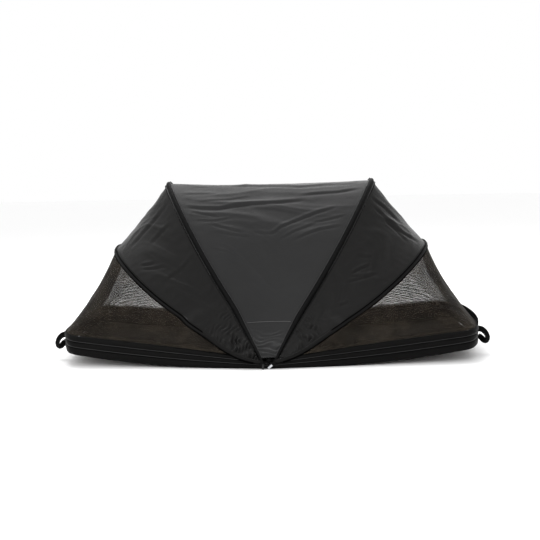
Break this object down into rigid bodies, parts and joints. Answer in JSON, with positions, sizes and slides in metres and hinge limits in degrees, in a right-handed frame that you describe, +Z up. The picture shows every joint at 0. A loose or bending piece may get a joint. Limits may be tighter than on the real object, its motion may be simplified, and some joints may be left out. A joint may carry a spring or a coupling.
{
  "type": "folding baby travel tent",
  "caption": "Low folding tent for a baby: a fabric canopy on U-shaped rods that fan out from a pin on each side of a banded floor.",
  "frame": {"origin": "on the floor, at the middle of the tent, below the line of the two hub pins", "axes": "+X along the length towards the right end, +Z up, -Y towards the side that the picture shows"},
  "size_m": [1.2524, 0.6934, 0.5124],
  "materials": {
    "rod": "black fibreglass in a fabric sleeve",
    "pin_steel": "plain",
    "floor_fabric": "coated woven polyester",
    "black_fabric": "woven polyester, matte",
    "centre_fabric": "woven polyester, soft sheen",
    "window_mesh": "fine knitted mesh",
    "zip_tape": "coil zip on tape",
    "webbing": "narrow webbing",
    "zip_pull": "small black pull"
  },
  "bodies": {
    "base_right": {"base_rod_right": "rod", "band_right": "black_fabric", "floor_right": "floor_fabric", "mesh_end_right": "window_mesh", "end_loop_right": "webbing", "hub_pin_near": "pin_steel", "hub_pin_far": "pin_steel", "zip_pull_near_right": "zip_pull", "zip_pull_far_right": "zip_pull", "end_strap_right": "webbing"},
    "hoop_outer_right": {"hoop_outer_right": "rod", "side_panel_right": "black_fabric"},
    "hoop_inner_right": {"hoop_inner_right": "rod", "zip_right": "zip_tape"},
    "hoop_inner_left": {"hoop_inner_left": "rod", "zip_left": "zip_tape", "door_panel": "centre_fabric"},
    "hoop_outer_left": {"hoop_outer_left": "rod", "side_panel_left": "black_fabric"},
    "base_left": {"base_rod_left": "rod", "band_left": "black_fabric", "floor_left": "floor_fabric", "mesh_end_left": "window_mesh", "end_loop_left": "webbing", "zip_pull_near_left": "zip_pull", "zip_pull_far_left": "zip_pull"}
  },
  "joints": [
    {"name": "fold_outer_right", "type": "hinge", "parent": "base_right", "child": "hoop_outer_right", "pos_m": [0, 0, 0.02], "axis": [0, 1, 0], "range_deg": [0, 24.6], "deforming": ["mesh_end_right", "end_strap_right"]},
    {"name": "fold_inner_right", "type": "hinge", "parent": "hoop_outer_right", "child": "hoop_inner_right", "pos_m": [0, 0, 0.02], "axis": [0, 1, 0], "range_deg": [0, 21.6], "deforming": ["side_panel_right", "zip_right"]},
    {"name": "fold_middle", "type": "hinge", "parent": "hoop_inner_right", "child": "hoop_inner_left", "pos_m": [0, 0, 0.02], "axis": [0, 1, 0], "range_deg": [0, 60], "deforming": ["door_panel"]},
    {"name": "fold_inner_left", "type": "hinge", "parent": "hoop_inner_left", "child": "hoop_outer_left", "pos_m": [0, 0, 0.02], "axis": [0, 1, 0], "range_deg": [0, 21.6], "deforming": ["side_panel_left", "zip_left"]},
    {"name": "fold_outer_left", "type": "hinge", "parent": "hoop_outer_left", "child": "base_left", "pos_m": [0, 0, 0.02], "axis": [0, 1, 0], "range_deg": [0, 24.6], "deforming": ["mesh_end_left"]}
  ],
  "couplings": [
    {"joint": "fold_outer_right", "follows": "fold_middle", "ratio": 0.41},
    {"joint": "fold_inner_right", "follows": "fold_middle", "ratio": 0.36},
    {"joint": "fold_inner_left", "follows": "fold_middle", "ratio": 0.36},
    {"joint": "fold_outer_left", "follows": "fold_middle", "ratio": 0.41}
  ]
}
